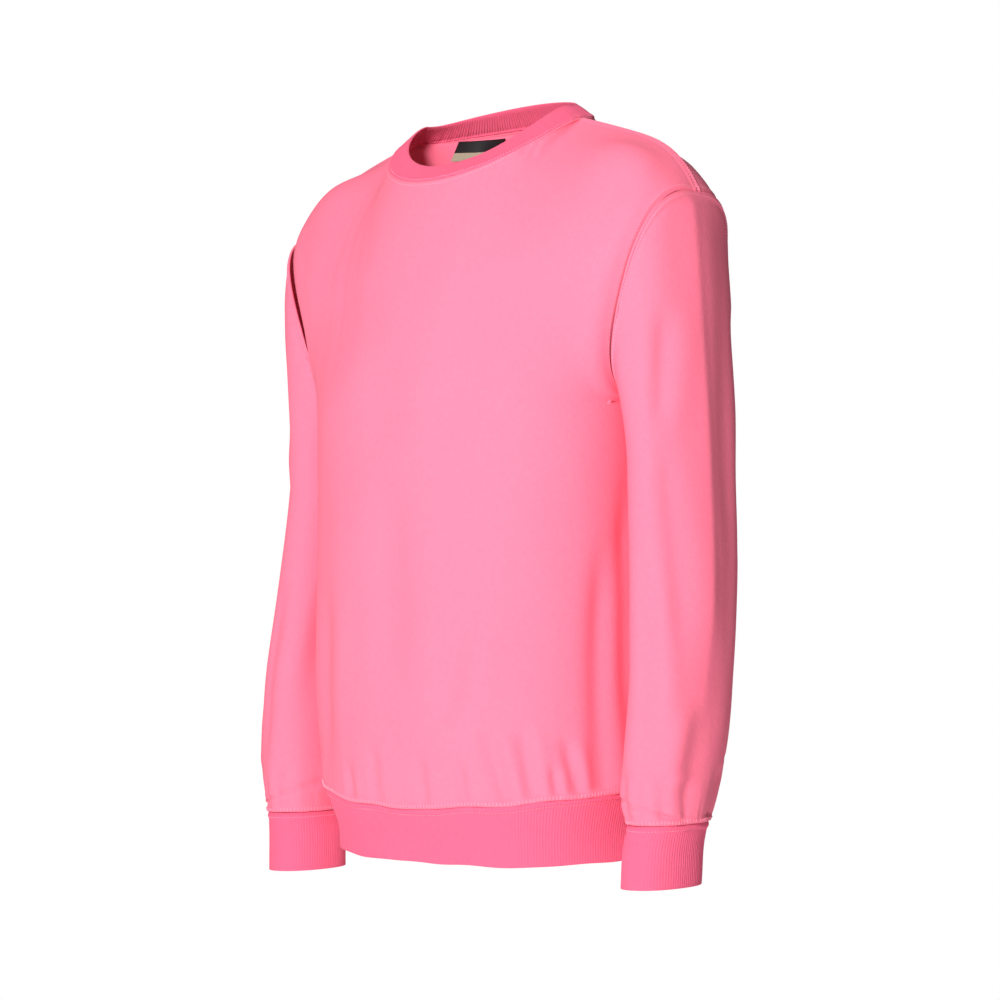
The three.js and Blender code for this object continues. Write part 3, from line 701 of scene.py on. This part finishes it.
def rib_band(name, ring, width, sewn_first, material, shift=None):
    """A ribbed band, sewn on at its first or last row: ring gives its form at each share of its width."""
    _, girth = even_turns(lambda turn: ring(0.5, turn), POINTS_PER_RIB)
    ribs = round(girth / RIB_PITCH)
    count = ribs * POINTS_PER_RIB
    turns, _ = even_turns(lambda turn: ring(0.5, turn), count)
    points = np.stack([ring(share, turns) for share in band_heights(width, sewn_first)])
    normals = grid_normals(points, True)
    from_first = lengths(points, 0)
    from_last = from_first[-1:] - from_first
    sunk = 0.5 - 0.5 * np.cos(np.arange(count) / count * TURN * ribs)
    depth = -RIB_HEIGHT * sunk[None, :]
    for away in (from_first, from_last):
        depth = depth * smooth(away / RIB_END["length"] + RIB_END["share"])
    depth += wander(points, "rib")
    if sewn_first:
        cloth = np.arange(count) / count * girth
        depth += seam_roll(from_first, *ROLLS["collar"]) + gathers(cloth, from_first, "collar")
    else:
        depth += seam_roll(from_last, *ROLLS["band"])
    outer = points + normals * depth[..., None]
    if shift is not None:
        outer = shift(outer, points, from_last)
    edges = ("sewn", "free") if sewn_first else ("free", "sewn")
    obj = tube(name, outer, RIB - RIB_HEIGHT, material, BULGE[edges[0]], BULGE[edges[1]])
    return obj, outer, grid_normals(outer, True)


def hem_ring(share, turn):
    """A ring of the waistband, from its lower edge (0) to its seam (1)."""
    row = section_at(HEM, np.array(share))
    wide, deep = boxy(np.cos(turn), BODY_POWER), boxy(np.sin(turn), BODY_POWER)
    y = SEAM_Y + np.where(deep < 0, row["front"], row["back"]) * deep
    level = lerp(HEM_EDGE_Z, HEM_SEAM_Z - SEAM_GAP, share)
    lift = hem_lift(wide, lerp(HEM_LIFT["edge"], HEM_LIFT["seam"], share))
    return np.stack([row["half_width"] * wide, y, level + lift], -1)


def cuff_ring(side):
    """The form of one cuff, from its lower edge (0) to its seam (1)."""

    def ring(share, turn):
        height = lerp(CUFF[0]["z"], CUFF[-1]["z"], share)
        return sleeve_ring(section_at(CUFF, np.array(height)), side * turn, side)

    return ring


def collar_ring(share, turn):
    """A ring of the collar, from its seam (0) to its upper edge (1)."""
    face = np.where(np.sin(turn) < 0, -1.0, 1.0)
    side = np.where(np.cos(turn) < 0, -1.0, 1.0)
    from_centre = np.arccos(np.clip(np.abs(np.sin(turn)), 0, 1))
    seam = neck_seam(from_centre, side, face)
    inwards = unit(-seam * np.array([1, 1, 0]))
    ends = np.where(face < 0, COLLAR_TILT["front"], COLLAR_TILT["back"])
    tilt = np.radians(lerp(ends, COLLAR_TILT["side"], smooth(from_centre / (math.pi / 2))))
    in_step = share * COLLAR_WIDTH * np.sin(tilt * lerp(COLLAR_BOW, 1, share))
    up_step = SEAM_GAP + share * COLLAR_WIDTH * np.cos(tilt)
    return seam + inwards * in_step[..., None] + np.stack([0 * turn, 0 * turn, up_step], -1)


# Stitches

# The direction of a line is taken from this many millimetres ahead and back.
PROBE = 0.5


def from_edge(grid, edge):
    """A grid turned so that its first row lies along the named edge."""
    turned = grid.swapaxes(0, 1) if "column" in edge else grid
    return turned[::-1] if "last" in edge else turned


def inset_line(grid, normals, edge, distance):
    """The line a distance in from one edge of a grid, and the cloth's normals along it."""
    grid, normals = from_edge(grid, edge), from_edge(normals, edge)
    run = lengths(grid, 0)
    after = np.maximum(np.argmax(run > distance, axis=0), 1)
    before = after - 1
    i = np.arange(grid.shape[1])
    t = ((distance - run[before, i]) / (run[after, i] - run[before, i]))[:, None]
    return lerp(grid[before, i], grid[after, i], t), unit(lerp(normals[before, i], normals[after, i], t))


def spaced(line, normals, pitch, closed):
    """Places along a line at equal steps, with the line's direction and the cloth's normal there."""
    if closed:
        line = np.concatenate([line, line[:1]])
        normals = np.concatenate([normals, normals[:1]])
    run = lengths(line, 0)
    at = np.arange(pitch / 2, run[-1] - pitch / 4, pitch)

    def values_at(places, values):
        return np.stack([np.interp(places, run, values[:, k]) for k in range(3)], -1)

    direction = values_at(at + PROBE, line) - values_at(at - PROBE, line)
    return values_at(at, line), unit(direction), unit(values_at(at, normals))


# A stitch's outline along it, as shares of its length and radius, how flat it lies and how far it stands up.
STITCH_SHAPE = [(-0.5, 0.0), (-0.36, 0.8), (0.0, 1.0), (0.36, 0.8), (0.5, 0.0)]
STITCH_FLAT = 0.4
STITCH_RISE = 0.12


def stitch_solid(sides=6):
    """A short plump stitch along X, one unit long and one unit in radius."""
    points, faces = [], []
    for x, radius in STITCH_SHAPE[1:-1]:
        angles = [TURN * s / sides for s in range(sides)]
        points += [(x, radius * math.cos(a), radius * math.sin(a)) for a in angles]
    points += [(STITCH_SHAPE[0][0], 0, 0), (STITCH_SHAPE[-1][0], 0, 0)]
    first, last = len(points) - 2, len(points) - 1
    rings = len(STITCH_SHAPE) - 2
    for s in range(sides):
        after = (s + 1) % sides
        faces.append((first, after, s))
        faces.append((last, (rings - 1) * sides + s, (rings - 1) * sides + after))
        for r in range(rings - 1):
            a, b = r * sides + s, r * sides + after
            faces.append((a, b, b + sides))
            faces.append((a, b + sides, a + sides))
    return np.array(points, float), np.array(faces, int)


def stitches(name, rows, material):
    """One mesh of many stitches, from rows of line, normals, style, whether across and whether all round."""
    shape, shape_faces = stitch_solid()
    points, faces, total = [], [], 0
    for line, normals, style, across, closed in rows:
        here, direction, up = spaced(line, normals, style["pitch"], closed)
        side = unit(np.cross(up, direction))
        up = np.cross(direction, side)
        long, short = (side, direction) if across else (direction, side)
        body = (
            here[:, None, :]
            + shape[None, :, :1] * style["length"] * long[:, None, :]
            + shape[None, :, 1:2] * style["thick"] / 2 * short[:, None, :]
            + shape[None, :, 2:] * style["thick"] * STITCH_FLAT * up[:, None, :]
            + up[:, None, :] * style["thick"] * STITCH_RISE
        )
        points.append(body.reshape(-1, 3))
        count = len(here)
        steps = (np.arange(count) * len(shape))[:, None, None] + total
        order = shape_faces if not across else shape_faces[:, ::-1]
        faces.append((order[None] + steps).reshape(-1, 3))
        total += count * len(shape)
    return make_object(name, np.concatenate(points), np.concatenate(faces), material)


# Materials


# Sizes of the knits in metres: width of a wale, height of a course, its relief and the nap's.
FLEECE_KNIT = {"wale": 0.00115, "course": 0.0009, "height": 0.00012, "strength": 0.15, "nap": 0.00022}
RIB_KNIT = {"wale": 0.00145, "course": 0.0009, "height": 0.00008, "strength": 0.3, "nap": 0.00018}
COURSE = {"phase": 1.2, "share": 0.45}
KNIT_LOOKS = {"Roughness": 0.92, "Specular IOR Level": 0.12}
KNIT_LOOKS.update({"Sheen Weight": 0.06, "Sheen Roughness": 0.7, "Sheen Tint": (1.0, 0.75, 0.82, 1)})
# The cloth's mottling from coarse to fine, and the share of the shade colour at its low and high end.
KNIT_NOISE = {
    "tone": {"Scale": 9.0, "Detail": 2.0, "Roughness": 0.5},
    "mottle": {"Scale": 210.0, "Detail": 2.0, "Roughness": 0.55},
    "fuzz": {"Scale": 620.0, "Detail": 3.0, "Roughness": 0.6},
}
KNIT_SHADES = {"tone": (0.0, 0.3), "mottle": (-0.1, 0.42), "fuzz": (-0.12, 0.36)}
NAP_STRENGTH = 0.8
MOTTLE_STRENGTH = 0.6
MOTTLE_DEPTH = 2.2
THREAD_LOOKS = {"Roughness": 0.55, "Sheen Weight": 0.3}
THREAD_TWIST = {"Scale": 1400.0, "Detail": 2.0}
SATIN_LOOKS = {"Roughness": 0.55, "Specular IOR Level": 0.25}
SATIN_WEAVE = {"bands_direction": "Z", "Scale": 700.0, "Distortion": 1.5}
FIBRE_DEPTH = 0.0001


def node_material(name, looks):
    """A new material with its surface values set."""
    material = bpy.data.materials.new(name)
    material.use_nodes = True
    nodes, links = material.node_tree.nodes, material.node_tree.links
    surface = nodes["Principled BSDF"]
    for key, value in looks.items():
        surface.inputs[key].default_value = value
    return material, nodes, links, surface


def add_node(nodes, kind, **settings):
    """A new node. Each setting is one of its properties or else one of its inputs."""
    node = nodes.new(kind)
    for key, value in settings.items():
        if hasattr(node, key):
            setattr(node, key, value)
        else:
            node.inputs[key].default_value = value
    return node


def knit_material(name, colour, shade, knit):
    """Pink cotton knit: columns of stitches, a soft nap, and a slow change of tone."""
    material, nodes, links, surface = node_material(name, KNIT_LOOKS)
    cloth = add_node(nodes, "ShaderNodeUVMap", uv_map="cloth")
    split = add_node(nodes, "ShaderNodeSeparateXYZ")
    links.new(cloth.outputs["UV"], split.inputs["Vector"])

    def wave(axis, pitch, phase):
        scaled = add_node(nodes, "ShaderNodeMath", operation="MULTIPLY_ADD")
        scaled.inputs[1].default_value = TURN / pitch
        scaled.inputs[2].default_value = phase
        links.new(split.outputs[axis], scaled.inputs[0])
        sine = add_node(nodes, "ShaderNodeMath", operation="SINE")
        links.new(scaled.outputs[0], sine.inputs[0])
        return sine.outputs[0]

    loops = add_node(nodes, "ShaderNodeMath", operation="MULTIPLY_ADD")
    loops.inputs[1].default_value = COURSE["share"]
    links.new(wave("Y", knit["course"], COURSE["phase"]), loops.inputs[0])
    links.new(wave("X", knit["wale"], 0), loops.inputs[2])

    place = add_node(nodes, "ShaderNodeTexCoord")
    noises = {key: add_node(nodes, "ShaderNodeTexNoise", **values) for key, values in KNIT_NOISE.items()}
    base = None
    for key, texture in noises.items():
        links.new(place.outputs["Object"], texture.inputs["Vector"])
        low, high = KNIT_SHADES[key]
        spread = add_node(nodes, "ShaderNodeMapRange", **{"To Min": low, "To Max": high})
        links.new(texture.outputs["Fac"], spread.inputs["Value"])
        mix = add_node(nodes, "ShaderNodeMix", data_type="RGBA")
        links.new(spread.outputs["Result"], mix.inputs["Factor"])
        mix.inputs["A"].default_value = (*colour, 1)
        mix.inputs["B"].default_value = (*shade, 1)
        if base is not None:
            links.new(base, mix.inputs["A"])
        base = mix.outputs["Result"]
    links.new(base, surface.inputs["Base Color"])

    reliefs = [
        (loops.outputs[0], knit["strength"], knit["height"]),
        (noises["fuzz"].outputs["Fac"], NAP_STRENGTH, knit["nap"]),
        (noises["mottle"].outputs["Fac"], MOTTLE_STRENGTH, knit["nap"] * MOTTLE_DEPTH),
    ]
    under = None
    for height, strength, distance in reliefs:
        bump = add_node(nodes, "ShaderNodeBump", Strength=strength, Distance=distance)
        links.new(height, bump.inputs["Height"])
        if under is not None:
            links.new(under, bump.inputs["Normal"])
        under = bump.outputs["Normal"]
    links.new(under, surface.inputs["Normal"])
    return material


def fibre_material(name, colour, darkest, relief, looks, pattern, settings):
    """Thread or ribbon: a fine pattern that darkens the colour a little and raises the surface."""
    material, nodes, links, surface = node_material(name, looks)
    place = add_node(nodes, "ShaderNodeTexCoord")
    texture = add_node(nodes, pattern, **settings)
    links.new(place.outputs["Object"], texture.inputs["Vector"])
    ramp = add_node(nodes, "ShaderNodeValToRGB")
    ramp.color_ramp.elements[0].color = (*[c * darkest for c in colour], 1)
    ramp.color_ramp.elements[1].color = (*colour, 1)
    links.new(texture.outputs["Fac"], ramp.inputs["Fac"])
    links.new(ramp.outputs["Color"], surface.inputs["Base Color"])
    bump = add_node(nodes, "ShaderNodeBump", Strength=relief, Distance=FIBRE_DEPTH)
    links.new(texture.outputs["Fac"], bump.inputs["Height"])
    links.new(bump.outputs["Normal"], surface.inputs["Normal"])
    return material


# The neck label: two ribbons sewn into the back neck seam, bare, with a corner that curls.


def label_piece(name, ribbon, material):
    """One ribbon of the label, hanging from the back neck seam."""
    across = np.linspace(0, 1, LABEL_MESH["columns"])
    heights = np.linspace(ribbon["bottom"], ribbon["top"], LABEL_MESH["rows"])[:, None]
    x = LABEL["x"] + LABEL["width"] * (across - 0.5)
    turn = np.arcsin(np.clip(np.abs(x / NECK_POINT[0]) ** LABEL_BEND, 0, 1))
    seam = neck_seam(turn, np.sign(x), np.ones_like(x))
    hang = np.clip((LABEL_BLACK["top"] - heights) / (LABEL_BLACK["top"] - LABEL_GREY["bottom"]), 0, 1)
    curl = LABEL["curl"] * hang * np.cos(across * TURN)
    corner = LABEL_CORNER["out"] * smooth((across - LABEL_CORNER["from"]) / LABEL_CORNER["over"])
    corner = corner * smooth(hang * LABEL_CORNER["growth"])
    wave = LABEL_WAVE["height"] * np.sin(across * LABEL_WAVE["turn"] + LABEL_WAVE["phase"]) * hang
    y = seam[None, :, 1] - LABEL["seam_depth"] - LABEL["lean"] * hang - curl - corner - wave
    points = np.stack([x + 0 * y, y, heights + 0 * y], -1)
    return panel(name, points, grid_normals(points, False), LABEL["thickness"], material)


# Colours

PINK = (0.92, 0.185, 0.280)
PINK_SHADE = (0.84, 0.130, 0.220)
RIB_PINK = (0.83, 0.120, 0.222)
RIB_SHADE = (0.70, 0.080, 0.160)
THREAD_PINK = (0.94, 0.27, 0.39)
BLACK = (0.006, 0.006, 0.007)
GREY = (0.36, 0.31, 0.22)

fleece = knit_material("fleece", PINK, PINK_SHADE, FLEECE_KNIT)
rib_knit = knit_material("rib_knit", RIB_PINK, RIB_SHADE, RIB_KNIT)
thread = fibre_material(
    "sewing_thread", THREAD_PINK, 0.8, 0.4, THREAD_LOOKS, "ShaderNodeTexNoise", THREAD_TWIST
)
black_satin = fibre_material("label_black", BLACK, 0.75, 0.35, SATIN_LOOKS, "ShaderNodeTexWave", SATIN_WEAVE)
grey_satin = fibre_material("label_grey", GREY, 0.75, 0.35, SATIN_LOOKS, "ShaderNodeTexWave", SATIN_WEAVE)

# Pieces by node: the object, and its outer grid and normals where something is sewn on it.
PIECES = {}

for node, face, creases in (("front_panel", -1, FRONT_CREASES), ("back_panel", 1, BACK_CREASES)):
    PIECES[node] = body_piece("cloth_" + node, face, creases, fleece)
for node, side in (("sleeve_left", 1), ("sleeve_right", -1)):
    PIECES[node] = sleeve_piece("cloth_" + node, side, fleece)


def hem_shift(outer, points, from_last):
    """The waistband follows the uneven seam above it, and has a fainter wave at its lower edge."""
    outer = outer.copy()
    mirrored = points * np.array([1, -1, 1])
    outer[..., 2] += seam_wave(points) * np.exp(-from_last / WAVE_REACH)
    outer[..., 2] += HEM_EDGE_WAVE * seam_wave(mirrored) * np.exp(-lengths(points, 0) / WAVE_REACH)
    return outer


hem_width = HEM_SEAM_Z - HEM_EDGE_Z
PIECES["hem_rib"] = rib_band("cloth_hem_rib", hem_ring, hem_width, False, rib_knit, hem_shift)
cuff_width = CUFF_SEAM_Z - CUFF[0]["z"]
for node, side in (("cuff_left", 1), ("cuff_right", -1)):
    PIECES[node] = rib_band("cloth_" + node, cuff_ring(side), cuff_width, False, rib_knit)
PIECES["collar_rib"] = rib_band("cloth_collar_rib", collar_ring, COLLAR_WIDTH, True, rib_knit)
labels = {"neck_label_black": (LABEL_BLACK, black_satin), "neck_label_grey": (LABEL_GREY, grey_satin)}
for node, (ribbon, satin) in labels.items():
    PIECES[node] = (label_piece("cloth_" + node, ribbon, satin),)

for node, made in PIECES.items():
    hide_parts(node)

# Sewing: combs of stitches over the waistband and cuff seams with a plain row on the other side of them,
# plain rows on both sides of the collar seam, and plain rows along the shoulders and armholes.
TICK = {"pitch": 3.6, "length": 4.4, "thick": 0.8}
ROW = {"pitch": 3.4, "length": 2.3, "thick": 0.6}
# Millimetres from the edge of the cloth to the middle of the stitches.
SEWN_AT = {"comb": 2.9, "neck": 5.6, "shoulder": 3.0, "armhole": 4.6, "hem": 6.0, "cuff": 5.0, "collar": 2.2}
ARMHOLE_ROWS_FROM = 1.04
SEWN = []


def sewn(node, edge, seam, closed=False, keep=None):
    """Stitches along one edge of a piece, or along the part of it that is kept."""
    _, grid, normals = PIECES[node]
    line, up = inset_line(grid, normals, edge, SEWN_AT[seam])
    if keep is not None:
        line, up = line[keep], up[keep]
    comb = seam == "comb"
    SEWN.append((line, up, TICK if comb else ROW, comb, closed))


columns = panel_columns()
upper = panel_rows() > ARMHOLE_ROWS_FROM
for node in ("front_panel", "back_panel"):
    sewn(node, "first_row", "comb")
    sewn(node, "last_row", "neck", keep=np.abs(columns) <= NECK_SHARE)
    sewn(node, "last_row", "shoulder", keep=columns > NECK_SHARE)
    sewn(node, "last_row", "shoulder", keep=columns < -NECK_SHARE)
    sewn(node, "first_column", "armhole", keep=upper)
    sewn(node, "last_column", "armhole", keep=upper)
for node in ("sleeve_left", "sleeve_right"):
    sewn(node, "last_row", "comb", closed=True)
    sewn(node, "first_row", "armhole", closed=True)
sewn("hem_rib", "last_row", "hem", closed=True)
sewn("cuff_left", "last_row", "cuff", closed=True)
sewn("cuff_right", "last_row", "cuff", closed=True)
sewn("collar_rib", "first_row", "collar", closed=True)
stitching = stitches("stitching", SEWN, thread)

# Floor, light and camera

FLOOR = {"height": -1.45, "size": 6}
PALE = (0.93, 0.93, 0.93, 1)
WHITE = (1, 1, 1, 1)
FLOOR_LOOKS = {"Base Color": PALE, "Roughness": 0.9, "Emission Color": WHITE, "Emission Strength": 0.6}
MIDDLE = Vector((0, 0, -0.36))


def stage_floor():
    """A pale floor well below the garment, which hangs free."""
    bpy.ops.mesh.primitive_plane_add(size=FLOOR["size"], location=(0, 0, FLOOR["height"]))
    floor = bpy.context.object
    floor.name = "floor"
    floor.data.materials.append(node_material("floor", FLOOR_LOOKS)[0])


def area_light(name, azimuth, elevation, distance, size, power):
    """A soft round light that looks at the middle of the garment, placed by compass and height."""
    turn, rise = math.radians(azimuth), math.radians(elevation)
    away = Vector((math.sin(turn) * math.cos(rise), -math.cos(turn) * math.cos(rise), math.sin(rise)))
    data = bpy.data.lights.new(name, "AREA")
    data.shape = "DISK"
    data.size = size
    data.energy = power
    light = bpy.data.objects.new(name, data)
    light.location = MIDDLE + away * distance
    light.rotation_euler = (-away).to_track_quat("-Z", "Y").to_euler()
    bpy.context.scene.collection.objects.link(light)


def white_world(strength):
    """An even pale surround: white to the eye, softer as a light."""
    world = bpy.data.worlds.new("surround")
    bpy.context.scene.world = world
    world.use_nodes = True
    nodes, links = world.node_tree.nodes, world.node_tree.links
    background = nodes["Background"]
    background.inputs["Color"].default_value = WHITE
    seen = nodes.new("ShaderNodeLightPath")
    level = add_node(nodes, "ShaderNodeMapRange", **{"To Min": strength, "To Max": 1.0})
    links.new(seen.outputs["Is Camera Ray"], level.inputs["Value"])
    links.new(level.outputs["Result"], background.inputs["Strength"])


# The camera's height and pitch come from the photo: its eye level is below the middle of the frame.
CAMERA = {"azimuth": 40.0, "distance": 3.0, "eye": -0.4625, "target": -0.3725, "lens": 108.0, "roll": -1.5}
SENSOR_WIDTH = 36.0


def photo_camera():
    """The camera of the photo."""
    turn = math.radians(CAMERA["azimuth"])
    data = bpy.data.cameras.new("camera")
    data.lens = CAMERA["lens"]
    data.sensor_width = SENSOR_WIDTH
    camera = bpy.data.objects.new("camera", data)
    eye = Vector((math.sin(turn), -math.cos(turn), 0)) * CAMERA["distance"] + Vector((0, 0, CAMERA["eye"]))
    look = (Vector((0, 0, CAMERA["target"])) - eye).to_track_quat("-Z", "Y").to_matrix().to_4x4()
    roll = Matrix.Rotation(math.radians(CAMERA["roll"]), 4, "Z")
    camera.matrix_world = Matrix.Translation(eye) @ look @ roll
    bpy.context.scene.collection.objects.link(camera)
    bpy.context.scene.camera = camera


stage_floor()
white_world(strength=0.08)
area_light("key", azimuth=22, elevation=18, distance=3.2, size=0.7, power=138)
area_light("top", azimuth=0, elevation=75, distance=3.0, size=1.6, power=12)
photo_camera()
bpy.context.scene.view_settings.view_transform = "Standard"
